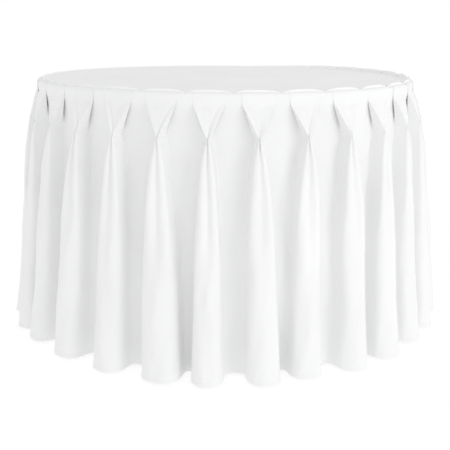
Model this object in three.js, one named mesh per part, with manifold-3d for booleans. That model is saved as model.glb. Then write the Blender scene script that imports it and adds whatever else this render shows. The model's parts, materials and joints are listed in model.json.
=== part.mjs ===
// A round banquet table with folding legs, dressed in a fitted pleated tablecloth.
// Units are millimetres, +Z is up, and the origin is on the floor under the table's centre.
// The cloth is a flat round top panel with a pleated skirt sewn to its edge, so it follows the
// table's outline and falls almost to the floor. Under it are the board, its edge band and two
// steel leg frames. Each frame swings up under the board on its pivot tube, and is held open
// by a two-link folding brace.

import * as THREE from 'three';
import { mergeVertices } from 'three/addons/utils/BufferGeometryUtils.js';
import Module from 'manifold-3d';

const wasm = await Module();
wasm.setup();

// ---------------------------------------------------------------- driving dimensions

const TABLE_HEIGHT = 762;        // floor to the bare table's surface
const TABLE_RADIUS = 600;        // outside the edge band
const GAP = 0.3;                 // between solids that touch

const BOARD_THICKNESS = 19;
const EDGE_BAND_THICKNESS = 6;
const EDGE_BAND_DROP = 2;        // how far the band hangs below the board

const CLOTH_THICKNESS = 2;       // the top panel with its nap and slack
const SKIRT_THICKNESS = 3;       // the skirt with its turned pleats, evened out
const HEM_HEIGHT = 10;           // floor to hem
const PLEAT_COUNT = 30;
const PANEL_COUNT = 6;           // fabric widths joined into the skirt
const HEADER_HEIGHT = 30;        // the stiff tape behind the pleat heads
const HEADER_THICKNESS = 1.2;
const WELT_RADIUS = 4.2;         // the rolled seam between top panel and skirt

const TUBE_RADIUS = 12.7;
const TUBE_WALL = 1.5;
const BAR_RADIUS = 11;
const BAR_WALL = 1.5;
const LEG_SPLAY = THREE.MathUtils.degToRad(4);
const LEG_PIVOT_X = 400;
const BRACE_DROP = 250;          // along the leg, from its pivot to the brace bar
const BRACKET_PLATE = 3;

// A leg bracket: its length along X, the width of its flange, its drop below the pivot,
// and the place of its screws.
const LEG_BRACKET = { length: 60, flange: 28, drop: 20, screwX: 18 };

// A brace bracket: its length along X, half its width over the flanges, its drop, and the place of its screws.
const BRACE_BRACKET = { length: 26, wing: 26, drop: 9, screwY: 18 };

const BRACE_PIVOT_X = 130;
const BRACE_PIVOT_Z = 720;
const LINK_THICKNESS = 5;
const LINK_RADIUS = 8;           // half the width of a brace link
const EYE_RADIUS = 17;           // the lower link's end, round the brace bar
const UPPER_LINK_EXCESS = 18.5;  // how much longer the upper link is than the lower one
const PIN_RADIUS = 3;
const HOLE_CLEARANCE = 0.3;

const RING_SIDES = 90;           // the board, its band, the tape and the rolled seam share their facets

const SCREW_RADIUS = 2;
const SCREW_HEAD_RADIUS = 5;
const SCREW_HEAD_HEIGHT = 2.5;
const SCREW_BITE = 13;           // thread length inside the board

const FOOT_RADIUS = 16;
const FOOT_HEIGHT = 34;
const FOOT_BASE = 6;

// The two frames nest when folded: the narrow one folds first, and the wide one passes outside it.
const FRAMES = [
  { name: 'right', sign: 1, halfWidth: 230, pivotZ: 722 },
  { name: 'left', sign: -1, halfWidth: 290, pivotZ: 720 },
];
const DEPTH_ENDS = [['front', -1], ['back', 1]];

// The skirt from its head to its hem: height, middle radius and half the depth of the pleats.
const SKIRT_LEVELS = [
  { z: TABLE_HEIGHT, middle: 606, wave: 2 },
  { z: 732, middle: 609, wave: 5 },
  { z: 648, middle: 622, wave: 14 },
  { z: 450, middle: 642, wave: 23 },
  { z: 230, middle: 658, wave: 30 },
  { z: HEM_HEIGHT, middle: 680, wave: 36 },
];

const boardBottom = TABLE_HEIGHT - BOARD_THICKNESS;
const boardRadius = TABLE_RADIUS - EDGE_BAND_THICKNESS - GAP;

// ---------------------------------------------------------------- materials

const material = (color, roughness, metalness) =>
  new THREE.MeshStandardMaterial({ color, roughness, metalness });

const topCloth = material(0xf4f4f4, 0.92, 0);
const skirtCloth = material(0xf8f8f8, 0.9, 0);
const tapeCloth = material(0xeeeeea, 0.95, 0);
const plywood = material(0xc9a877, 0.6, 0);
const edgeVinyl = material(0x3a3633, 0.5, 0);
const paintedSteel = material(0x4b4e52, 0.45, 0.3);
const zincSteel = material(0xb9bcc0, 0.35, 0.9);
const blackRubber = material(0x1b1b1b, 0.85, 0);

// ---------------------------------------------------------------- helpers

function solid(geometry) {
  const bare = geometry.clone();
  bare.deleteAttribute('normal');
  bare.deleteAttribute('uv');
  const merged = mergeVertices(bare, 1e-4);
  return new wasm.Manifold(new wasm.Mesh({
    numProp: 3,
    vertProperties: merged.attributes.position.array,
    triVerts: new Uint32Array(merged.index.array),
  }));
}

function geometryOf(manifold) {
  const mesh = manifold.getMesh();
  const geometry = new THREE.BufferGeometry();
  geometry.setAttribute('position', new THREE.BufferAttribute(mesh.vertProperties, 3));
  geometry.setIndex(new THREE.BufferAttribute(mesh.triVerts, 1));
  geometry.computeVertexNormals();
  return geometry;
}

function cut(geometry, cutters) {
  let left = solid(geometry);
  for (const cutter of cutters) left = left.subtract(solid(cutter));
  return geometryOf(left);
}

// A cylinder along Z from the origin up, for holes and posts.
function post(radius, height, sides = 20) {
  return new THREE.CylinderGeometry(radius, radius, height, sides)
    .rotateX(Math.PI / 2)
    .translate(0, 0, height / 2);
}

// A ring or a turned piece about Z. Points are [radius, height], going round with the inside on the left.
function turned(points, sides) {
  return new THREE.LatheGeometry(points.map(([r, z]) => new THREE.Vector2(r, z)), sides)
    .rotateX(Math.PI / 2);
}

// An open tube along Z from the origin up.
function tube(radius, wall, length) {
  const ring = new THREE.Shape().absarc(0, 0, radius, 0, 2 * Math.PI);
  ring.holes.push(new THREE.Path().absarc(0, 0, radius - wall, 0, 2 * Math.PI));
  return new THREE.ExtrudeGeometry(ring, { depth: length, bevelEnabled: false, curveSegments: 10 });
}

// A tube along Y, centred on y = 0.
function crossTube(radius, wall, length) {
  return tube(radius, wall, length).rotateX(-Math.PI / 2).translate(0, -length / 2, 0);
}

// A drill along Y, centred on y = 0.
function crossDrill(radius, length) {
  return post(radius, length).rotateX(-Math.PI / 2).translate(0, -length / 2, 0);
}

const model = new THREE.Group();

function add(name, geometry, look, parent = model) {
  const mesh = new THREE.Mesh(geometry, look);
  mesh.name = name;
  parent.add(mesh);
  return mesh;
}

// ---------------------------------------------------------------- the tablecloth

const weltCentre = TABLE_RADIUS + 2.5;

function topPanel() {
  const radius = weltCentre - WELT_RADIUS - GAP;
  add('top_panel', post(radius, CLOTH_THICKNESS, RING_SIDES).translate(0, 0, TABLE_HEIGHT + GAP), topCloth);
}

// The rolled seam that joins the panel to the skirt: a flat foot and a round back.
function edgeWelt() {
  const foot = TABLE_HEIGHT + GAP;
  const arc = [0, 45, 90, 135, 180].map((degrees) => {
    const angle = THREE.MathUtils.degToRad(degrees);
    return [weltCentre + WELT_RADIUS * Math.cos(angle), foot + 1.5 + WELT_RADIUS * Math.sin(angle)];
  });
  const profile = [
    [weltCentre - WELT_RADIUS, foot],
    [weltCentre + WELT_RADIUS, foot],
    ...arc,
    [weltCentre - WELT_RADIUS, foot],
  ];
  add('edge_welt', turned(profile, RING_SIDES), skirtCloth);
}

function headerTape() {
  const inner = TABLE_RADIUS + GAP;
  const outer = inner + HEADER_THICKNESS;
  const top = TABLE_HEIGHT - GAP;
  const bottom = top - HEADER_HEIGHT;
  const profile = [[inner, bottom], [outer, bottom], [outer, top], [inner, top], [inner, bottom]];
  add('header_tape', turned(profile, RING_SIDES), tapeCloth);
}

// How far the skirt stands out of its middle radius at an angle, from the levels beside this height.
function pleatWave(angle, z) {
  const below = SKIRT_LEVELS.findIndex((level) => level.z <= z + 0.5);
  return SKIRT_LEVELS[below].wave * Math.cos(PLEAT_COUNT * (angle + Math.PI / 2));
}

// The whole skirt as one fluted ring, open at the hem.
function flutedRing() {
  const half = SKIRT_THICKNESS / 2;
  const outside = SKIRT_LEVELS.map((level) => [level.middle + half, level.z]).reverse();
  const inside = SKIRT_LEVELS.map((level) => [level.middle - half, level.z]);
  const ring = turned([...outside, ...inside, outside[0]], PLEAT_COUNT * 8);
  const position = ring.getAttribute('position');
  for (let i = 0; i < position.count; i += 1) {
    const angle = Math.atan2(position.getY(i), position.getX(i));
    const radius = Math.hypot(position.getX(i), position.getY(i)) + pleatWave(angle, position.getZ(i));
    position.setXY(i, radius * Math.cos(angle), radius * Math.sin(angle));
  }
  return ring;
}

// The skirt is sewn from equal fabric widths, joined inside the back folds between two pleats.
function skirtPanels() {
  const ring = solid(flutedRing());
  const sweep = (2 * Math.PI) / PANEL_COUNT;
  const seam = (GAP / 2 + 0.05) / TABLE_RADIUS;
  const reach = 2 * TABLE_RADIUS;
  for (let panel = 0; panel < PANEL_COUNT; panel += 1) {
    const from = panel * sweep + seam;
    const to = (panel + 1) * sweep - seam;
    const wedge = new THREE.Shape();
    wedge.moveTo(0, 0);
    wedge.lineTo(reach * Math.cos(from), reach * Math.sin(from));
    wedge.lineTo(reach * Math.cos(to), reach * Math.sin(to));
    const slice = new THREE.ExtrudeGeometry(wedge, { depth: TABLE_HEIGHT + 20, bevelEnabled: false });
    add(`skirt_panel_${panel + 1}`, geometryOf(ring.intersect(solid(slice))), skirtCloth);
  }
}

// ---------------------------------------------------------------- the table top

// Every screw is under a bracket flange: its place on the underside.
const screwPlaces = [];

function board() {
  const pilots = screwPlaces.map(({ x, y }) =>
    post(SCREW_RADIUS + 0.4, SCREW_BITE + 2, 10).translate(x, y, boardBottom - 0.5));
  const disc = post(boardRadius, BOARD_THICKNESS, RING_SIDES).translate(0, 0, boardBottom);
  add('table_board', cut(disc, pilots), plywood);
}

function edgeBand() {
  const inner = TABLE_RADIUS - EDGE_BAND_THICKNESS;
  const bottom = boardBottom - EDGE_BAND_DROP;
  const profile = [
    [inner, bottom],
    [TABLE_RADIUS - 1.5, bottom],
    [TABLE_RADIUS, bottom + 1.5],
    [TABLE_RADIUS, TABLE_HEIGHT - 1.5],
    [TABLE_RADIUS - 1.5, TABLE_HEIGHT],
    [inner, TABLE_HEIGHT],
    [inner, bottom],
  ];
  add('edge_band', turned(profile, RING_SIDES), edgeVinyl);
}

const flangeTop = boardBottom - GAP;
const flangeBottom = flangeTop - BRACKET_PLATE;

// A pan-head wood screw, driven up through a flange into the board.
function screw(name, x, y) {
  const headTop = flangeBottom - GAP;
  const headBottom = headTop - SCREW_HEAD_HEIGHT;
  const tip = boardBottom + SCREW_BITE;
  const profile = [
    [0, headBottom],
    [SCREW_HEAD_RADIUS - 1.2, headBottom],
    [SCREW_HEAD_RADIUS, headBottom + 1.2],
    [SCREW_HEAD_RADIUS, headTop],
    [SCREW_RADIUS, headTop],
    [SCREW_RADIUS, tip - 3],
    [0, tip],
  ];
  const mesh = add(name, turned(profile, 12), zincSteel);
  mesh.position.set(x, y, 0);
  screwPlaces.push({ x, y });
}

function flangeHole(x, y) {
  return post(SCREW_RADIUS + 0.6, 3 * BRACKET_PLATE, 12).translate(x, y, flangeBottom - BRACKET_PLATE);
}

// ---------------------------------------------------------------- the leg frames

// An L bracket outside a leg: its plate carries the end of the pivot tube.
function legBracket(frame, end, side) {
  const inner = frame.halfWidth + TUBE_RADIUS + 5.3;
  const outer = inner + LEG_BRACKET.flange;
  const drop = frame.pivotZ - LEG_BRACKET.drop;
  const { length, screwX } = LEG_BRACKET;
  const ell = new THREE.Shape([
    new THREE.Vector2(inner, drop),
    new THREE.Vector2(inner + BRACKET_PLATE, drop),
    new THREE.Vector2(inner + BRACKET_PLATE, flangeBottom),
    new THREE.Vector2(outer, flangeBottom),
    new THREE.Vector2(outer, flangeTop),
    new THREE.Vector2(inner, flangeTop),
  ]);
  // The outline is drawn in Y and Z, so the extrusion is turned to run along X.
  const blank = new THREE.ExtrudeGeometry(ell, { depth: length, bevelEnabled: false })
    .rotateX(Math.PI / 2)
    .rotateZ(Math.PI / 2)
    .translate(-length / 2, 0, 0);
  const screwY = (inner + BRACKET_PLATE + outer) / 2;
  const holes = [-screwX, screwX].map((x) => flangeHole(x, screwY));
  holes.push(crossDrill(TUBE_RADIUS + 0.5, 2 * outer).translate(0, 0, frame.pivotZ));
  const bracket = cut(blank, holes);
  if (side < 0) bracket.rotateZ(Math.PI);
  bracket.translate(frame.sign * LEG_PIVOT_X, 0, 0);
  add(`${frame.name}_leg_bracket_${end}`, bracket, zincSteel);
  [-screwX, screwX].forEach((x, i) =>
    screw(`${frame.name}_leg_screw_${end}_${i + 1}`, frame.sign * LEG_PIVOT_X + x, side * screwY));
}

// A leg's own frame: the origin at its pivot, -Z down the leg and +X out of the table.
function legSpace(frame) {
  const space = new THREE.Group();
  space.position.set(frame.sign * LEG_PIVOT_X, 0, frame.pivotZ);
  space.rotation.y = -frame.sign * LEG_SPLAY;
  space.updateMatrixWorld(true);
  model.add(space);
  return space;
}

// A rubber cup on the end of a leg, cut level with the floor.
function footCap(frame, space, reach, end, y) {
  const base = -(reach + 1.3);
  const outer = FOOT_RADIUS;
  const inner = TUBE_RADIUS + GAP;
  const floor = -(reach - FOOT_BASE);
  const rim = -(reach - FOOT_HEIGHT);
  const profile = [
    [0, base],
    [outer, base],
    [outer, rim - 1.5],
    [outer - 1.5, rim],
    [inner, rim],
    [inner, floor],
    [0, floor],
  ];
  const cup = turned(profile, 20).translate(0, y, 0).applyMatrix4(space.matrixWorld);
  const ground = new THREE.BoxGeometry(4 * TABLE_RADIUS, 4 * TABLE_RADIUS, 40).translate(0, 0, -20);
  add(`${frame.name}_foot_${end}`, cut(cup, [ground]), blackRubber);
}

function legFrame(frame) {
  const space = legSpace(frame);
  const reach = frame.pivotZ / Math.cos(LEG_SPLAY);
  const pivotLength = 2 * (frame.halfWidth + TUBE_RADIUS + 12);
  add(`${frame.name}_pivot_tube`, crossTube(TUBE_RADIUS, TUBE_WALL, pivotLength), paintedSteel, space);

  const top = -(TUBE_RADIUS + GAP);
  const bottom = -(reach - FOOT_BASE - GAP);
  for (const [end, side] of DEPTH_ENDS) {
    const leg = tube(TUBE_RADIUS, TUBE_WALL, top - bottom).translate(0, side * frame.halfWidth, bottom);
    add(`${frame.name}_leg_${end}`, leg, paintedSteel, space);
    footCap(frame, space, reach, end, side * frame.halfWidth);
    legBracket(frame, end, side);
  }

  const barLength = 2 * (frame.halfWidth + TUBE_RADIUS);
  const bar = crossTube(BAR_RADIUS, BAR_WALL, barLength)
    .translate(frame.sign * (TUBE_RADIUS + BAR_RADIUS + GAP), 0, -BRACE_DROP);
  add(`${frame.name}_brace_bar`, bar, paintedSteel, space);
}

// ---------------------------------------------------------------- the folding braces

// A flat link of two round ends and straight sides, from the origin along +X, with a hole in each end.
function link(nearRadius, nearHole, farRadius, farHole, length) {
  const lean = Math.acos((nearRadius - farRadius) / length);
  const outline = new THREE.Shape();
  outline.absarc(0, 0, nearRadius, lean, 2 * Math.PI - lean);
  outline.absarc(length, 0, farRadius, -lean, lean);
  outline.holes.push(new THREE.Path().absarc(0, 0, nearHole, 0, 2 * Math.PI));
  outline.holes.push(new THREE.Path().absarc(length, 0, farHole, 0, 2 * Math.PI));
  return new THREE.ExtrudeGeometry(outline, {
    depth: LINK_THICKNESS,
    bevelEnabled: false,
    curveSegments: 9,
  });
}

// Stands a link, drawn flat, in the plane of Y = near, at a point and pointing along an angle above +X.
function stand(geometry, near, x, z, angle) {
  return geometry
    .rotateZ(angle)
    .rotateX(Math.PI / 2)
    .translate(x, near + LINK_THICKNESS, z);
}

// A clevis screwed under the board, with a lug on each side of the links.
function braceBracket(frame) {
  const lug = LINK_THICKNESS + 2 * GAP;
  const drop = BRACE_PIVOT_Z - BRACE_BRACKET.drop;
  const { length, wing, screwY } = BRACE_BRACKET;
  const outline = [
    [lug, drop],
    [lug + BRACKET_PLATE, drop],
    [lug + BRACKET_PLATE, flangeBottom],
    [wing, flangeBottom],
    [wing, flangeTop],
  ];
  const mirrored = outline.map(([y, z]) => [-y, z]).reverse();
  const inside = [[-lug, flangeBottom], [lug, flangeBottom]];
  const points = [...outline, ...mirrored, ...inside].map(([y, z]) => new THREE.Vector2(y, z));
  const blank = new THREE.ExtrudeGeometry(new THREE.Shape(points), { depth: length, bevelEnabled: false })
    .rotateX(Math.PI / 2)
    .rotateZ(Math.PI / 2)
    .translate(-length / 2, 0, 0);
  const holes = [flangeHole(0, screwY), flangeHole(0, -screwY)];
  holes.push(crossDrill(PIN_RADIUS + HOLE_CLEARANCE, 4 * wing).translate(0, 0, BRACE_PIVOT_Z));
  const x = frame.sign * BRACE_PIVOT_X;
  add(`${frame.name}_brace_bracket`, cut(blank, holes).translate(x, 0, 0), zincSteel);
  [-screwY, screwY].forEach((y, i) => screw(`${frame.name}_brace_screw_${i + 1}`, x, y));
}

// A headed pin along Y whose shank runs from one Y to another, with a head at each end that has one.
function pin(from, to, heads) {
  const radius = PIN_RADIUS;
  const head = 5.5;
  const profile = [[0, from]];
  if (heads.includes('from')) profile.push([head, from], [head, from + 2]);
  profile.push([radius, heads.includes('from') ? from + 2 : from]);
  profile.push([radius, heads.includes('to') ? to - 2 : to]);
  if (heads.includes('to')) profile.push([head, to - 2], [head, to]);
  profile.push([0, to]);
  return turned(profile, 16).rotateX(-Math.PI / 2);
}

function brace(frame) {
  const sin = Math.sin(LEG_SPLAY);
  const cos = Math.cos(LEG_SPLAY);
  const offset = TUBE_RADIUS + BAR_RADIUS + GAP;
  const barX = LEG_PIVOT_X + BRACE_DROP * sin + offset * cos;
  const barZ = frame.pivotZ - BRACE_DROP * cos + offset * sin;
  const span = Math.hypot(barX - BRACE_PIVOT_X, barZ - BRACE_PIVOT_Z);
  const slope = Math.atan2(barZ - BRACE_PIVOT_Z, barX - BRACE_PIVOT_X);
  const upperLength = (span + UPPER_LINK_EXCESS) / 2;
  const lowerLength = span - upperLength;
  const elbowX = BRACE_PIVOT_X + upperLength * Math.cos(slope);
  const elbowZ = BRACE_PIVOT_Z + upperLength * Math.sin(slope);
  const hole = PIN_RADIUS + HOLE_CLEARANCE;

  braceBracket(frame);

  const upper = stand(
    link(LINK_RADIUS, hole, LINK_RADIUS, hole, upperLength),
    GAP, BRACE_PIVOT_X, BRACE_PIVOT_Z, slope,
  );
  const lower = stand(
    link(EYE_RADIUS, BAR_RADIUS + HOLE_CLEARANCE, LINK_RADIUS, hole, lowerLength),
    -GAP - LINK_THICKNESS, barX, barZ, slope + Math.PI,
  );
  const lug = LINK_THICKNESS + 2 * GAP + BRACKET_PLATE;
  const pinEnd = lug + GAP + 2;
  const pivotPin = pin(-pinEnd, pinEnd, ['from', 'to']).translate(BRACE_PIVOT_X, 0, BRACE_PIVOT_Z);
  const elbowRivet = pin(GAP, LINK_THICKNESS + 2 * GAP + 2, ['to']).translate(elbowX, 0, elbowZ);
  const pieces = [
    ['upper_brace', upper, paintedSteel],
    ['lower_brace', lower, paintedSteel],
    ['brace_pin', pivotPin, zincSteel],
    ['elbow_rivet', elbowRivet, zincSteel],
  ];
  // The left frame's pieces are the right one's, turned half a turn about Z.
  for (const [name, geometry, look] of pieces) {
    if (frame.sign < 0) geometry.rotateZ(Math.PI);
    add(`${frame.name}_${name}`, geometry, look);
  }
}

// ---------------------------------------------------------------- assembly

for (const frame of FRAMES) {
  legFrame(frame);
  brace(frame);
}
board();
edgeBand();
headerTape();
skirtPanels();
edgeWelt();
topPanel();

export default model;
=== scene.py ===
"""A round banquet table in a fitted tablecloth with a pinch-pleated skirt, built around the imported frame.

The skirt is one long strip of cloth, folded into box pleats at its head. Every height has its own
cross-section, from the flat pleats of the header, through the V and the pinch, to the round folds of the
hem, and the sheet is lofted through them. Heights and radii of the sections are in millimetres, and
everything in Blender is in metres.
"""

import json
import math
from collections import namedtuple

import bpy
import numpy as np
from mathutils import Matrix, Vector


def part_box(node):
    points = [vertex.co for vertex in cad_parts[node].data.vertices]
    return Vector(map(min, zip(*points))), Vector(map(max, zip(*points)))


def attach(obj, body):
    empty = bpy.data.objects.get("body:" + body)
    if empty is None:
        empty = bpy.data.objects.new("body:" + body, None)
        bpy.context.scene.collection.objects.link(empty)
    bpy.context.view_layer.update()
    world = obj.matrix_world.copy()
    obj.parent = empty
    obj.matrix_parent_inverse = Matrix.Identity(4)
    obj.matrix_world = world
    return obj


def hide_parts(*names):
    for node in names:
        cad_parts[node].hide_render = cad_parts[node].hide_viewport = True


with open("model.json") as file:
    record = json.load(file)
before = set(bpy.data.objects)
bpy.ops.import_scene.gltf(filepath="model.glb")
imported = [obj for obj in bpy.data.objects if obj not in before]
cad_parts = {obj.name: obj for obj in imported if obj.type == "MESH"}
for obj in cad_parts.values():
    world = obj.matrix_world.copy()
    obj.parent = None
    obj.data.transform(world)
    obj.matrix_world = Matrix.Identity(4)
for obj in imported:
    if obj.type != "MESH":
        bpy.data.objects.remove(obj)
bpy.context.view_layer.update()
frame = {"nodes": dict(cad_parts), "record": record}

MM = 0.001
BODY = "table_and_cloth"
SEED = 11

# ---------------------------------------------------------------- sizes

PLEATS = 30
PANELS = 6
PITCH = 2 * math.pi / PLEATS

TABLE_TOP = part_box("edge_band")[1].z / MM
TABLE_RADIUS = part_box("edge_band")[1].x / MM

# The measures from here to the levels are in mm.
FACE = 84.0                     # width of a pleat's flat face
GATHER = 147.25                 # half the cloth in one pleat: half a face, the turned layers and half a gap
GIRTH = 2 * GATHER * PLEATS     # all the cloth round the skirt
HEAD_RADIUS = TABLE_RADIUS + 3.4    # the cloth in the gaps between the pleats' heads
HEM_RADIUS = 716.0              # the middle of a fold at the hem, for turning a lean into an angle
PINCH = 648.0                   # height of the tack that pinches each pleat
LIP = 26.0                      # cloth from the edge of the face to the free edge of the flap beside the V
SHOULDER = 748.0                # the cloth turns in over the table's edge above this height
HEADER_END = 738.0              # the pleats are pressed flat above this height
SEAM_RADIUS = TABLE_RADIUS - 9.0
TOP_FLAT = 560.0                # the top panel lies flat inside this radius
HEM_DEPTH = 9.0                 # height of the turned-up hem
SLACK = 5.5                     # how far the cloth hangs off the table's edge on the -X side
SMOOTH_STEP = 0.5               # spacing of the points along the cloth while a section is rounded
GATHERS = 8 * PLEATS            # small gathers round the rim, eight for each pleat

# The half section of one pleat at a height, in mm. Radial measures start at HEAD_RADIUS.
#   centre: where the middle of the face is     inner, outer: the fold's two shoulders, from its middle line
#   crest: how far the shoulders stand out      fall: how far the outer shoulder lies behind the inner one
#   foot: where the fold's side meets the valley, from the middle line
#   valley: how far the valley stands out       soft: how rounded the cloth is
#   turned: cloth from the middle line to the foot, where it is pressed
Level = namedtuple("Level", "z centre inner outer crest fall foot valley soft turned")
LEVELS = [
    Level(762, 1.5, 42.0, 42.0, 1.2, 0, 1.0, 0.5, 0.8, 84),
    Level(744, 1.6, 42.0, 42.0, 1.3, 0, 1.0, 0.4, 0.8, 84),
    Level(733, 3.4, 40.6, 40.6, 3.8, 0, 1.5, -0.2, 0.8, 84),
    Level(720, 8.0, 34.5, 34.5, 10.5, 0, 4.0, -4.0, 0.8, 84),
    Level(700, 14.8, 25.2, 25.2, 18.5, 0, 7.0, -6.5, 0.9, 84),
    Level(680, 21.5, 15.8, 15.8, 25.5, 0, 8.0, -7.5, 0.9, 85),
    Level(662, 27.0, 7.4, 7.4, 31.0, 0, 9.0, -8.0, 0.9, 86),
    Level(648, 30.5, 1.0, 1.4, 34.5, 0, 9.0, -7.5, 0.9, 87),
    Level(640, 32.0, 1.5, 4.5, 37.0, 0.5, 10.0, -7.0, 1.4, 89),
    Level(625, 34.0, 3.5, 9.0, 40.5, 1, 13.0, -6.0, 2.2, 92),
    Level(600, 37.5, 6.5, 14.5, 45.5, 2, 17.0, -5.0, 3.0, 96),
    Level(570, 42.0, 9.5, 20.0, 51.0, 3, 21.0, -2.0, 4.0, 100),
    Level(530, 46.5, 13.0, 25.0, 57.0, 4, 25.0, 1.0, 5.0, 104),
    Level(490, 52.0, 16.5, 29.0, 62.0, 5, 29.0, 4.0, 6.0, 108),
    Level(440, 59.0, 19.0, 33.0, 67.5, 6, 33.0, 8.0, 7.5, 113),
    Level(390, 66.5, 21.0, 36.5, 72.5, 8, 37.0, 12.0, 9.0, 118),
    Level(350, 75.0, 23.0, 38.5, 76.0, 9, 39.0, 16.0, 10.0, 120),
    Level(300, 82.5, 25.0, 40.5, 79.5, 10, 41.0, 20.0, 11.0, 121),
    Level(200, 94.0, 28.0, 43.0, 90.0, 12, 44.0, 27.0, 13.0, 124),
    Level(100, 107.5, 29.0, 46.0, 102.5, 14, 47.0, 32.0, 14.0, 127),
    Level(6, 119.0, 30.0, 49.0, 113.0, 16, 50.0, 35.0, 15.0, 129),
]

# The folds nearest the camera, counted from the one that faces -Y: how far each leans sideways at the hem
# and how much further out it stands there, in mm, and how wide it is beside the others.
FRONT_FOLD = 22
HEM_LEAN = {-5: 0, -4: -28, -3: -18, -2: 0, -1: 20, 0: 4, 1: 15, 2: -6, 3: 0, 4: -6, 5: 4}
HEM_STAND = {-3: 2, -2: 4, -1: 8, 0: 10, 1: 8, 2: -8, 3: 4, 4: 4}
HEM_WIDTH = {-4: 0.9, -3: 1.04, -2: 0.96, -1: 1.1, 0: 0.88, 1: 0.92, 2: 0.92, 3: 0.93, 4: 1.04}

PLEAT_MIDDLES = (np.arange(PLEATS) + 0.5) * 2 * GATHER      # the pleats' middle lines, along the cloth

rng = np.random.default_rng(SEED)


# ---------------------------------------------------------------- helpers

def monotone(xs, ys, x):
    """Values at x of a curve through the points xs, ys that never overshoots them."""
    xs, ys = np.asarray(xs, float), np.asarray(ys, float)
    order = np.argsort(xs)
    xs, ys = xs[order], ys[order]
    step = np.diff(xs)
    slope = np.diff(ys) / step
    tangent = np.zeros(len(xs))
    tangent[0], tangent[-1] = slope[0], slope[-1]
    same = slope[:-1] * slope[1:] > 0
    with np.errstate(divide="ignore", invalid="ignore"):
        mean = 2 * slope[:-1] * slope[1:] / (slope[:-1] + slope[1:])
    tangent[1:-1] = np.where(same, mean, 0)
    x = np.clip(x, xs[0], xs[-1])
    i = np.clip(np.searchsorted(xs, x) - 1, 0, len(step) - 1)
    t = (x - xs[i]) / step[i]
    h00 = (1 + 2 * t) * (1 - t) ** 2
    h10 = t * (1 - t) ** 2
    h01 = t * t * (3 - 2 * t)
    h11 = t * t * (t - 1)
    return h00 * ys[i] + h10 * step[i] * tangent[i] + h01 * ys[i + 1] + h11 * step[i] * tangent[i + 1]


def ease(low, high, x):
    """0 below low, 1 above high, and a smooth rise between them."""
    t = np.clip((x - low) / (high - low), 0, 1)
    return t * t * (3 - 2 * t)


def ripple(along, up, waves, wave_along, wave_up):
    """Smooth random undulation of about unit height over the skirt. It closes on itself round the table."""
    shortest, longest = 0.6, 1.8    # the waves' lengths beside the lengths asked for
    total = np.zeros(np.broadcast(along, up).shape)
    for _ in range(waves):
        turns = round(GIRTH / (wave_along * rng.uniform(shortest, longest)))
        rise = rng.choice([-1, 1]) / (wave_up * rng.uniform(shortest, longest))
        phase = rng.uniform(0, 2 * math.pi)
        total += np.sin(2 * math.pi * (turns * along / GIRTH + rise * up) + phase)
    return total / math.sqrt(waves / 2)


def grid_mesh(name, points, uv, closed=False):
    """A sheet from a grid of points in metres, rows by columns. Closed joins the last and first columns."""
    rows, columns = points.shape[:2]
    index = np.arange(rows * columns).reshape(rows, columns)
    if closed:
        index = np.concatenate([index, index[:, :1]], axis=1)
    a, b = index[:-1, :-1].ravel(), index[:-1, 1:].ravel()
    c, d = index[1:, 1:].ravel(), index[1:, :-1].ravel()
    quads = np.stack([d, c, b, a], axis=1)
    mesh = bpy.data.meshes.new(name)
    mesh.vertices.add(rows * columns)
    mesh.vertices.foreach_set("co", points.reshape(-1).astype(np.float32))
    mesh.loops.add(quads.size)
    mesh.loops.foreach_set("vertex_index", quads.ravel().astype(np.int32))
    mesh.polygons.add(len(quads))
    mesh.polygons.foreach_set("loop_start", np.arange(0, quads.size, 4, dtype=np.int32))
    mesh.polygons.foreach_set("use_smooth", np.ones(len(quads), bool))
    mesh.update(calc_edges=True)
    layer = mesh.uv_layers.new(name="cloth")
    layer.data.foreach_set("uv", uv.reshape(-1, 2)[quads.ravel()].ravel().astype(np.float32))
    mesh.validate()
    piece = bpy.data.objects.new(name, mesh)
    bpy.context.scene.collection.objects.link(piece)
    return piece


# ---------------------------------------------------------------- camera

def make_camera():
    """A viewpoint a little above the table, turned slightly off the pleat that faces -Y."""
    distance, height = 2.533, 0.9425
    azimuth, pitch, roll = math.radians(4.107), math.radians(15.207), math.radians(0.421)
    data = bpy.data.cameras.new("camera")
    data.lens = 60.1
    data.sensor_width = 36
    data.clip_start = 0.05
    data.clip_end = 200
    camera = bpy.data.objects.new("camera", data)
    bpy.context.scene.collection.objects.link(camera)
    camera.location = (distance * math.sin(azimuth), -distance * math.cos(azimuth), height)
    turn = Matrix.Rotation(azimuth, 4, "Z")
    tilt = Matrix.Rotation(math.pi / 2 - pitch, 4, "X")
    spin = Matrix.Rotation(roll, 4, "Z")
    camera.rotation_euler = (turn @ tilt @ spin).to_euler()
    bpy.context.scene.camera = camera


# ---------------------------------------------------------------- materials

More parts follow.
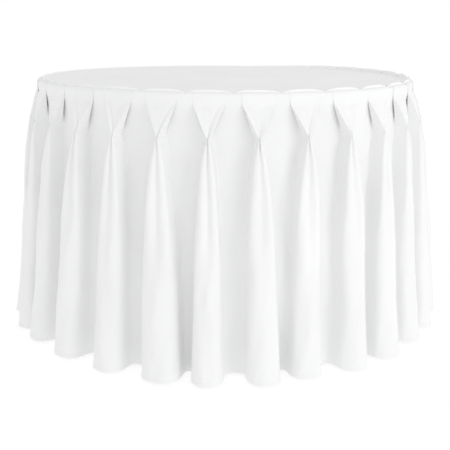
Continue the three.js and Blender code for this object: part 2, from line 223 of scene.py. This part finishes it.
class Nodes:
    """A short way to write node trees."""

    def __init__(self, name):
        self.material = bpy.data.materials.new(name)
        self.material.use_nodes = True
        self.tree = self.material.node_tree
        self.shader = self.tree.nodes["Principled BSDF"]

    def add(self, kind, inputs=None, **settings):
        node = self.tree.nodes.new(kind)
        for key, value in settings.items():
            setattr(node, key, value)
        for key, value in (inputs or {}).items():
            self.feed(node.inputs[key], value)
        return node

    def feed(self, socket, value):
        if isinstance(value, bpy.types.NodeSocket):
            self.tree.links.new(value, socket)
        else:
            socket.default_value = value

    def math(self, operation, *values):
        node = self.add("ShaderNodeMath", operation=operation)
        for socket, value in zip(node.inputs, values):
            self.feed(socket, value)
        return node.outputs[0]

    def ramp(self, factor, stops):
        node = self.add("ShaderNodeValToRGB", {"Fac": factor})
        while len(node.color_ramp.elements) < len(stops):
            node.color_ramp.elements.new(0.5)
        for element, (position, colour) in zip(node.color_ramp.elements, stops):
            element.position = position
            element.color = (*colour, 1)
        return node.outputs["Color"]

    def noise(self, place, scale, detail, distortion=0.0):
        inputs = {"Vector": place, "Scale": scale, "Detail": detail, "Distortion": distortion}
        return self.add("ShaderNodeTexNoise", inputs).outputs["Fac"]

    def stretch(self, place, scale):
        return self.add("ShaderNodeMapping", {"Vector": place, "Scale": scale}).outputs["Vector"]

    def bump(self, height, strength, distance):
        inputs = {"Height": height, "Strength": strength, "Distance": distance}
        return self.add("ShaderNodeBump", inputs).outputs["Normal"]

    def object_place(self):
        return self.add("ShaderNodeTexCoord").outputs["Object"]

    def set(self, **values):
        for key, value in values.items():
            self.feed(self.shader.inputs[key.replace("_", " ")], value)


def cloth_material(name, colour, thread=0.9, sheen=0.25, weave=0.25):
    """Plain woven polyester.

    The cloth's own map is in metres, so the threads run with the cut of each piece. The thread is in mm.
    """
    n = Nodes(name)
    place = n.add("ShaderNodeUVMap", uv_map="cloth").outputs["UV"]
    split = n.add("ShaderNodeSeparateXYZ", {"Vector": place})
    turns = 2 * math.pi / (thread * MM)
    across = n.math("SINE", n.math("MULTIPLY", split.outputs["X"], turns))
    along = n.math("SINE", n.math("MULTIPLY", split.outputs["Y"], turns))
    threads = n.math("MULTIPLY", across, along)
    fuzz = n.noise(place, 1100.0, 2.0)
    slub = n.noise(place, 70.0, 3.0)
    uneven = n.math("ADD", fuzz, n.math("MULTIPLY", slub, 2.0))
    height = n.math("ADD", n.math("MULTIPLY", threads, weave), uneven)
    cloudy = n.noise(place, 4.0, 2.0)
    mottle = n.math("ADD", n.math("MULTIPLY", cloudy, 0.6), n.math("MULTIPLY", fuzz, 0.4))
    low = tuple(c * 0.965 for c in colour)
    high = tuple(min(1, c * 1.02) for c in colour)
    n.set(Base_Color=n.ramp(mottle, [(0.3, low), (0.7, high)]), Normal=n.bump(height, 0.22, 0.0006))
    n.set(Roughness=0.88, Sheen_Weight=sheen, Sheen_Roughness=0.5, Specular_IOR_Level=0.25)
    return n.material


def plywood_material():
    """Rotary-cut birch veneer, sealed, with long soft figure."""
    n = Nodes("plywood")
    place = n.object_place()
    figure = n.noise(n.stretch(place, (2.0, 22.0, 22.0)), 1.6, 6.0, distortion=1.2)
    pores = n.noise(n.stretch(place, (20.0, 600.0, 600.0)), 1.0, 3.0)
    grain = n.math("ADD", n.math("MULTIPLY", figure, 0.75), n.math("MULTIPLY", pores, 0.25))
    dark, middle, light = (0.36, 0.22, 0.11), (0.55, 0.37, 0.2), (0.66, 0.48, 0.29)
    n.set(Base_Color=n.ramp(grain, [(0.3, dark), (0.55, middle), (0.75, light)]))
    n.set(Normal=n.bump(pores, 0.3, 0.0003), Roughness=0.5, Coat_Weight=0.2, Coat_Roughness=0.3)
    return n.material


def hammered_material():
    """Powder coat on steel tube, with a faint orange-peel surface."""
    n = Nodes("powder_coat")
    place = n.object_place()
    peel = n.noise(place, 420.0, 1.0)
    dust = n.noise(place, 9.0, 4.0)
    colour = n.ramp(dust, [(0.35, (0.085, 0.09, 0.095)), (0.7, (0.125, 0.13, 0.135))])
    rough = n.math("ADD", n.math("MULTIPLY", dust, 0.2), 0.32)
    n.set(Base_Color=colour, Normal=n.bump(peel, 0.35, 0.0004), Roughness=rough, Coat_Weight=0.25)
    return n.material


def zinc_material():
    """Bright zinc plate, cloudy and lightly scratched."""
    n = Nodes("zinc_plate")
    place = n.object_place()
    cloud = n.noise(place, 60.0, 4.0)
    scratch = n.noise(n.stretch(place, (60.0, 900.0, 900.0)), 1.0, 2.0)
    colour = n.ramp(cloud, [(0.35, (0.5, 0.51, 0.53)), (0.65, (0.66, 0.66, 0.65))])
    rough = n.math("ADD", n.math("MULTIPLY", cloud, 0.25), 0.2)
    n.set(Base_Color=colour, Normal=n.bump(scratch, 0.15, 0.0002), Roughness=rough, Metallic=0.95)
    return n.material


def moulded_material(name, dark, light, roughness):
    """Vinyl or rubber with a fine moulded grain."""
    n = Nodes(name)
    place = n.object_place()
    grain = n.noise(place, 900.0, 2.0)
    wear = n.noise(place, 14.0, 5.0)
    rough = n.math("ADD", n.math("MULTIPLY", wear, 0.15), roughness - 0.07)
    n.set(Base_Color=n.ramp(wear, [(0.3, dark), (0.75, light)]), Normal=n.bump(grain, 0.3, 0.0003))
    n.set(Roughness=rough)
    return n.material


def finish_nodes():
    """Gives every CAD node its real finish, and returns the materials by the names of their slots, with a
    lighter copy of the white cloth for the seam that is a painted highlight.
    """
    white = (0.89, 0.892, 0.894)
    looks = {
        "top_cloth": cloth_material("top_cloth", white),
        "skirt_cloth": cloth_material("skirt_cloth", white),
        # The seam strips' cloth is the same white painted lighter, a painted highlight for the light the
        # rolled seam catches; its sheen is raised too.
        "seam_cloth_painted_highlight": cloth_material("seam_cloth_painted_highlight", (0.95, 0.951, 0.952), sheen=0.5),
        "header_tape": cloth_material("header_tape", (0.7, 0.7, 0.68), thread=1.6, sheen=0.0, weave=0.6),
        "plywood": plywood_material(),
        "edge_band": moulded_material("edge_vinyl", (0.035, 0.032, 0.03), (0.06, 0.055, 0.05), 0.45),
        "frame_steel": hammered_material(),
        "zinc_steel": zinc_material(),
        "foot_rubber": moulded_material("foot_rubber", (0.015, 0.015, 0.015), (0.035, 0.034, 0.033), 0.8),
    }
    for row in frame["record"]["subparts"]:
        node = frame["nodes"][row["node"]]
        node.data.materials.clear()
        node.data.materials.append(looks[row["material_slot"]])
    return looks


# ---------------------------------------------------------------- the skirt

def front_values(values, chosen):
    """Puts the chosen values at the folds nearest the camera."""
    for offset, value in chosen.items():
        values[(FRONT_FOLD + offset) % PLEATS] = value
    return values


def fold_sections(heights):
    """Level values at each height for each pleat, with each pleat's own small differences."""
    settle = rng.normal(0, 1.5, PLEATS)         # how high each pleat was tacked, in mm
    width = front_values(1 + rng.normal(0, 0.05, PLEATS), HEM_WIDTH)
    stand = front_values(rng.normal(0, 3.0, PLEATS), HEM_STAND)
    long_recess = rng.normal(0, 18.0, PLEATS)   # how much lower each pleat's recess ends, in mm
    z = heights[:, None] + settle[None, :] * ease(760, 700, heights)[:, None]
    z = z + long_recess[None, :] * (ease(620, 450, z) * ease(60, 250, z))
    table = {name: monotone([l.z for l in LEVELS], [getattr(l, name) for l in LEVELS], z)
             for name in Level._fields}
    low = ease(PINCH, 200, z)
    for name in ("inner", "outer", "foot"):
        table[name] = table[name] * (1 + (width[None, :] - 1) * low)
    for name in ("centre", "crest"):
        table[name] = table[name] + stand[None, :] * low
    return table


def lean_angles():
    """How far each fold leans round the table at the hem, in radians."""
    return front_values(rng.normal(0, 7.0, PLEATS), HEM_LEAN) / HEM_RADIUS


def flap_lips(heights):
    """The flap beside each V, on both sides of each pleat. It ends in a corner beside the tack.

    Returns how far the flap's back edge stands free at each height, 0 on the fold's side and 1 free, and how
    far it lies outside the edge of the V, in mm.
    """
    corner = PINCH + rng.uniform(-12, 16, (2, PLEATS))
    flare = rng.uniform(3.0, 7.5, (2, PLEATS))
    z = heights[:, None, None]
    return ease(corner - 6, corner + 3, z), flare * ease(HEADER_END, corner, z)


def face_creases(columns, heights):
    """How far the cloth of each V is dented, in mm, which is negative because the cloth goes in.

    A crease runs from near the tack out to one side, and a pocket lies under the header on the other side.
    """
    crease_depth, crease_width = 3.2, 5.0
    pocket_depth, pocket_width, pocket_height, pocket_drop = 3.0, 11, 7, 10
    side = rng.choice([-1, 1], PLEATS) * rng.uniform(0.5, 1.0, PLEATS)
    reach = rng.uniform(20, 32, PLEATS)
    z = heights[:, None, None]
    line = np.sign(side)[:, None] * (5 + reach[:, None] * (z - PINCH) / (HEADER_END - PINCH))
    in_v = ease(HEADER_END + 2, HEADER_END - 14, z) * ease(PINCH - 8, PINCH + 22, z)
    crease = crease_depth * np.exp(-((columns - line) / crease_width) ** 2) * in_v
    pocket_across = (columns + line * 0.6) / pocket_width
    pocket_up = (z - HEADER_END + pocket_drop) / pocket_height
    pocket = pocket_depth * np.exp(-pocket_across ** 2 - pocket_up ** 2)
    return -(crease + pocket) * np.abs(side)[:, None]


def skirt_columns():
    """Places across the cloth of one pleat, from -GATHER to GATHER, closer together at the pressed folds."""
    widest, narrowest, growth = 4.6, 1.1, 0.22      # the steps, in mm, and how they grow away from a fold
    half = [0.0]
    while half[-1] < GATHER - 0.5:
        c = half[-1]
        near = min(abs(c - FACE / 2), abs(c - FACE / 2 - LIP), abs(c - FACE) * 1.4)
        half.append(c + min(widest, narrowest + near * growth))
    half = np.array(half) * GATHER / half[-1]
    return np.concatenate([-half[:0:-1], half])


def skirt_heights():
    """Heights of the rows from the shoulder down to the hem, closer together near the pinch."""
    return np.concatenate([
        np.arange(SHOULDER, PINCH - 60, -4.0),
        np.arange(PINCH - 60, 480, -6.0),
        np.arange(480, 24, -9.0),
        [20, 17, 15.5, 14.5, 12, 9, 7, 6.0],
    ])


def half_section(v, lip, flare, pressed):
    """One side of every pleat, in mm: cloth from the middle line, place beside it and place outwards."""
    none = np.zeros(PLEATS)
    tip = np.maximum(0.5, (v["outer"] - v["inner"]) / 2)
    shoulder = v["crest"] - v["fall"]
    depth = shoulder - v["valley"]
    down_side = LIP / (v["turned"] - FACE / 2 - tip)
    side_x = v["outer"] + (v["foot"] - v["outer"]) * down_side
    side_y = shoulder - depth * down_side
    free_x = v["outer"] + flare - 0.8 * pressed
    free_y = shoulder - depth * (0.76 + 0.12 * pressed)
    return [
        (none, none, v["centre"]),
        (FACE / 4 + none, v["inner"] * 0.5, (v["centre"] + v["crest"]) / 2),
        (FACE / 2 - tip, v["inner"], v["crest"]),
        (FACE / 2 + tip, v["outer"], shoulder),
        (FACE / 2 + tip + LIP, side_x + (free_x - side_x) * lip, side_y + (free_y - side_y) * lip),
        (v["turned"], v["foot"], v["valley"]),
    ]


def whole_section(v, swing, lips, flares, pressed):
    """The section of all the pleats at one height: cloth along, angle and place outwards of each point."""
    middle_angle = PITCH * (np.arange(PLEATS) + 0.5)
    knots, angles, offsets = [], [], []
    for side, lip, flare in zip((-1, 1), lips, flares):
        half = half_section(v, lip, flare, pressed)
        for c, x, y in half[(1 if side < 0 else 0):]:
            knots.append(PLEAT_MIDDLES + side * c)
            angles.append(middle_angle + swing + side * x / (HEAD_RADIUS + y))
            offsets.append(y)
    knots.append(PLEAT_MIDDLES + GATHER)
    angles.append(PITCH * (np.arange(PLEATS) + 1) + (swing + np.roll(swing, -1)) / 2)
    offsets.append((v["valley"] + np.roll(v["valley"], -1)) / 2)
    knots, angles, offsets = (np.concatenate(k) for k in (knots, angles, offsets))
    order = np.argsort(knots)
    return knots[order], angles[order], offsets[order]


def skirt_surface():
    """Place along the cloth, angle, radius and height of the skirt's points, in mm and radians."""
    heights = skirt_heights()
    table = fold_sections(heights)
    lean = lean_angles()
    lips, flares = flap_lips(heights)
    columns = skirt_columns()
    dents = face_creases(columns[:-1], heights).reshape(len(heights), -1)
    sway = ((PINCH - np.minimum(heights, PINCH)) / PINCH) ** 1.1
    turn_per_mm = 2 * math.pi / GIRTH
    fine = np.arange(0, GIRTH, SMOOTH_STEP)
    frequency = np.fft.rfftfreq(len(fine), SMOOTH_STEP)
    along = (PLEAT_MIDDLES[:, None] + columns[None, :-1]).ravel()
    theta, radius = [], []
    for row, z in enumerate(heights):
        v = {name: table[name][row] for name in table}
        pressed = ease(HEADER_END - 8, HEADER_END + 4, z)
        knots, angles, offsets = whole_section(v, lean * sway[row], lips[row], flares[row], pressed)
        drift = angles - knots * turn_per_mm
        blur = np.exp(-2 * (math.pi * frequency * v["soft"].mean()) ** 2)
        smooth = []
        for values in (drift, offsets):
            dense = np.interp(fine, knots, values, period=GIRTH)
            dense = np.fft.irfft(np.fft.rfft(dense) * blur, len(fine))
            smooth.append(np.interp(along, fine, dense, period=GIRTH))
        theta.append(smooth[0] + along * turn_per_mm)
        radius.append(HEAD_RADIUS + smooth[1] + dents[row])
    theta, radius = np.array(theta), np.array(radius)
    height = np.repeat(heights[:, None], len(along), axis=1)
    return along, theta, radius, height


def hang(theta, radius, height, along):
    """Lets the cloth hang off the table's edge on the -X side, and gives it its soft undulations."""
    radius = radius + SLACK * ease(0.1, 1, -np.cos(theta)) * ease(670, 745, height)
    broad = 0.2 + 0.9 * ease(720, 500, height)
    fine = 0.25 * ease(735, 690, height)
    radius = radius + broad * ripple(along[None, :], height, waves=10, wave_along=95, wave_up=420)
    return radius + fine * ripple(along[None, :], height, waves=10, wave_along=40, wave_up=90)


def arch(theta):
    """1 over the middle of each pleat, and 0 at the notch between two. The back's notches are shallow."""
    notch_starts, flatness, steepness = 0.92, 2.6, 0.7
    filled_at_back = 0.85
    phase = np.abs(((theta / PITCH) % 1) * 2 - 1) / notch_starts
    notched = np.clip(1 - np.clip(phase, 0, 1) ** flatness, 0, 1) ** steepness
    return notched + filled_at_back * (1 - notched) * ease(-0.1, 0.4, np.sin(theta))


def seam_line(theta):
    """Radius, top and half height of the rolled seam, which arches over each pleat and is thin between them.

    It stands up highest on the +X side and lowest at the back.
    """
    to_back = np.sin(theta)
    on_right = ease(0, 0.75, np.cos(theta))
    rise = 5.5 - 3.0 * to_back + (6.5 + 6.0 * to_back) * on_right
    radius = SEAM_RADIUS + 3.5 * (1 - arch(theta))
    top = TABLE_TOP + 2.6 + (rise - 0.6) * arch(theta)
    half_height = 0.9 + 0.4 * rise * arch(theta)
    return radius, top, half_height


def shoulder_rows(theta, radius, steps=12):
    """Rows from under the seam, over the table's edge, down to the top row of the skirt."""
    seam_radius, seam_top, half_height = seam_line(theta)
    gathers = (1 - arch(theta)) * np.sin(theta * GATHERS)
    begin = seam_top - 1.4 * half_height
    square = 2.8 + 5 * (1 - arch(theta))        # the gaps lie close over the table's edge, the pleats do not
    rows = [(seam_radius - 2.0, np.minimum(begin, TABLE_TOP + 1.2))]
    for turn in np.linspace(1, 0, steps, endpoint=False):
        angle = turn * math.pi / 2
        out = math.cos(angle) ** (2 / square)
        up = math.sin(angle) ** (2 / square)
        layer = (radius - HEAD_RADIUS) * (1 - 0.6 * turn) + 0.9 * gathers * math.sin(turn * math.pi)
        rows.append((seam_radius + 1.0 + (HEAD_RADIUS - seam_radius - 1.0) * out + layer,
                     SHOULDER + (begin - SHOULDER) * up))
    return rows


def turn_hem(points, heights):
    """Thickens the turned-up hem and sinks its line of stitches, along the cloth's own normals."""
    thickness, stitch_depth, stitch_drop, stitch_width = 0.9, 0.5, 1.0, 1.2
    around = np.roll(points, -1, axis=1) - np.roll(points, 1, axis=1)
    down = np.gradient(points, axis=0)
    normal = np.cross(down, around)
    normal /= np.linalg.norm(normal, axis=-1, keepdims=True)
    facing = np.sign(np.median((normal * points)[..., :2].sum(-1)))
    top = heights[-1] + HEM_DEPTH
    turned = thickness * ease(top + 0.8, top - 0.6, heights)
    stitched = stitch_depth * np.exp(-((heights - top + stitch_drop) / stitch_width) ** 2)
    thick = turned - stitched
    return points + facing * normal * thick[:, None, None] * MM


def make_skirt(look):
    """Six sheets, one for each fabric width. Returns the skirt's points, and each row's height in mm."""
    along, theta, radius, height = skirt_surface()
    radius = hang(theta, radius, height, along)
    over = shoulder_rows(theta[0], radius[0])
    theta = np.concatenate([np.repeat(theta[:1], len(over), axis=0), theta])
    radius = np.concatenate([np.array([r for r, _ in over]), radius])
    height = np.concatenate([np.array([h for _, h in over]), height])
    points = np.stack([radius * np.cos(theta), radius * np.sin(theta), height], axis=-1) * MM
    points = turn_hem(points, height.mean(1))
    down = np.concatenate([[0], np.cumsum(np.linalg.norm(np.diff(points.mean(1), axis=0), axis=1))])
    per_panel = points.shape[1] // PANELS
    last_step = 4.0                             # cloth before a panel's last column, in mm
    for panel in range(PANELS):
        chosen = np.arange(panel * per_panel, (panel + 1) * per_panel + 1) % points.shape[1]
        part = points[:, chosen]
        width = np.concatenate([along[chosen[:-1]], [along[chosen[-2]] + last_step]]) * MM
        uv = np.stack(np.broadcast_arrays(width[None, :], -down[:, None]), axis=-1)
        piece = grid_mesh(f"skirt_cloth_{panel + 1}", part, uv)
        piece.data.materials.append(look)
        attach(piece, BODY)
        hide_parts(f"skirt_panel_{panel + 1}")
    return points, height.mean(1)


# ---------------------------------------------------------------- the top

def make_top(look):
    """The flat round panel, whose edge is caught under the rolled seam."""
    theta = np.linspace(0, 2 * math.pi, 1080, endpoint=False)
    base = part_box("top_panel")[1].z / MM
    seam_radius, seam_top, _ = seam_line(theta)
    inside = np.concatenate([[0.05], np.linspace(20, TOP_FLAT, 28)])
    radius = [np.full(theta.shape, r) for r in inside]
    radius += [TOP_FLAT + (seam_radius - TOP_FLAT) * t for t in np.linspace(0, 1, 14)[1:]]
    radius = np.array(radius)
    near = ease(seam_radius - 26, seam_radius - 3, radius)
    edge = np.minimum(base + 0.12 * (seam_top - base), seam_top - 0.8)
    rise = (edge - base) * near
    gathers = 0.6 * np.sin(theta * GATHERS) * (1 - arch(theta)) * ease(555, 588, radius)
    points = np.stack([radius * np.cos(theta), radius * np.sin(theta), base + rise + gathers], axis=-1) * MM
    points = points[::-1]
    piece = grid_mesh("top_cloth", points, points[..., :2], closed=True)
    piece.data.materials.append(look)
    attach(piece, BODY)
    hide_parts("top_panel")


def tube(name, middle, tall, deep, look, sides=12, power=1.0):
    """A closed strip of cloth or thread along points in metres round the table.

    Its upright section is an oval where power is 1, and squarer where power is lower.
    """
    spin = np.linspace(0, 2 * math.pi, sides, endpoint=False)
    across = np.sign(np.cos(spin)) * np.abs(np.cos(spin)) ** power
    upward = np.sign(np.sin(spin)) * np.abs(np.sin(spin)) ** power
    reach = np.hypot(middle[:, 0], middle[:, 1])
    outward = np.stack([middle[:, 0] / reach, middle[:, 1] / reach, 0 * reach], axis=-1)
    points = middle[:, None] + outward[:, None] * (deep[:, None] * across)[..., None]
    points[..., 2] += tall[:, None] * upward
    length = np.concatenate([[0], np.cumsum(np.linalg.norm(np.diff(middle, axis=0), axis=1))])
    uv = np.stack(np.broadcast_arrays(length[:, None], spin[None, :] * tall.mean()), axis=-1)
    piece = grid_mesh(name, points, uv, closed=True)
    piece.data.materials.append(look)
    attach(piece, BODY)
    return piece


def make_seam(look):
    """The rolled seam round the rim: a strip of cloth over each pleat, thin and tucked away at both ends."""
    t = np.linspace(-1, 1, 33)
    full = np.clip(1 - np.abs(t) ** 4, 0, 1)
    overlap = 0.51                              # half a strip, in pleats, so each end laps the next strip
    for pleat in range(PLEATS):
        theta = PITCH * (pleat + 0.5 + overlap * t)
        radius, top, half_height = seam_line(theta)
        radius = radius + 0.6 * t
        middle = np.stack([radius * np.cos(theta), radius * np.sin(theta), top - half_height], axis=-1) * MM
        deep = (0.9 + 1.5 * full) * MM
        strip = tube(f"rim_seam_{pleat + 1:02d}", middle, half_height * MM, deep, look, sides=24, power=0.5)
        if pleat == 0:
            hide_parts("edge_welt")


def make_tacks(look, points, heights):
    """A bar tack on each pinch: three wraps of thread over the two edges it holds together."""
    half_width, thread, spacing = 3.2, 0.5, 1.3     # of a tack, its thread's radius and its wraps, in mm
    row = int(np.argmin(np.abs(heights - PINCH)))
    per_pleat = points.shape[1] // PLEATS
    t = np.linspace(-1, 1, 9)
    for pleat in range(PLEATS):
        mine = points[row, pleat * per_pleat:(pleat + 1) * per_pleat]
        front = mine[np.argmax(np.hypot(mine[:, 0], mine[:, 1]))]
        reach = math.hypot(front[0], front[1])
        angle = PITCH * (pleat + 0.5)
        theta = angle + half_width * MM * t / reach
        radius = reach + (1.1 - 2.6 * t * t) * MM
        size = np.full(len(t), thread * MM)
        for wrap in range(3):
            height = front[2] + (spacing * (wrap - 1) + 0.5 * t) * MM
            middle = np.stack([radius * np.cos(theta), radius * np.sin(theta), height], axis=-1)
            tube(f"tack_{pleat + 1:02d}_{wrap + 1}", middle, size, size, look, sides=6)


# ---------------------------------------------------------------- stage and light

def make_stage():
    """A floor that gives light of its own, so that it runs into the white background."""
    mesh = bpy.data.meshes.new("floor")
    reach = 60
    corners = [(-reach, -reach, 0), (reach, -reach, 0), (reach, reach, 0), (-reach, reach, 0)]
    mesh.from_pydata(corners, [], [(0, 1, 2, 3)])
    floor = bpy.data.objects.new("floor", mesh)
    bpy.context.scene.collection.objects.link(floor)
    n = Nodes("floor")
    n.set(Base_Color=(0.2, 0.2, 0.2, 1), Roughness=0.9, Emission_Color=(1, 1, 1, 1), Emission_Strength=0.84)
    n.set(Specular_IOR_Level=0.0)
    mesh.materials.append(n.material)


def make_light(name, location, target, size, power):
    data = bpy.data.lights.new(name, "AREA")
    data.shape = "DISK"
    data.size = size
    data.energy = power
    lamp = bpy.data.objects.new(name, data)
    bpy.context.scene.collection.objects.link(lamp)
    lamp.location = location
    lamp.rotation_euler = (Vector(target) - Vector(location)).to_track_quat("-Z", "Y").to_euler()


def make_world():
    """A white studio that is a little dimmer overhead than round the horizon."""
    world = bpy.data.worlds.new("studio")
    world.use_nodes = True
    tree = world.node_tree
    place = tree.nodes.new("ShaderNodeTexCoord")
    split = tree.nodes.new("ShaderNodeSeparateXYZ")
    fade = tree.nodes.new("ShaderNodeMapRange")
    tree.links.new(place.outputs["Generated"], split.inputs["Vector"])
    tree.links.new(split.outputs["Z"], fade.inputs["Value"])
    fade.inputs["From Min"].default_value = 0.03
    fade.inputs["From Max"].default_value = 0.7
    fade.inputs["To Min"].default_value = 1.0
    fade.inputs["To Max"].default_value = 0.81
    background = tree.nodes["Background"]
    background.inputs["Color"].default_value = (1, 1, 1, 1)
    tree.links.new(fade.outputs["Result"], background.inputs["Strength"])
    bpy.context.scene.world = world


def make_lights():
    make_world()
    make_light("key", (3.6, -3.2, 1.9), target=(0, 0, 0.45), size=2.2, power=35)
    view = bpy.context.scene.view_settings
    view.view_transform = "Standard"
    view.look = "None"
    view.exposure = 0
    view.gamma = 1


# ---------------------------------------------------------------- assembly

make_camera()
looks = finish_nodes()
skirt, skirt_rows = make_skirt(looks["skirt_cloth"])
make_tacks(looks["skirt_cloth"], skirt, skirt_rows)
make_top(looks["top_cloth"])
# The seam strips get the lighter cloth, a painted highlight along the rim.
make_seam(looks["seam_cloth_painted_highlight"])
make_stage()
make_lights()
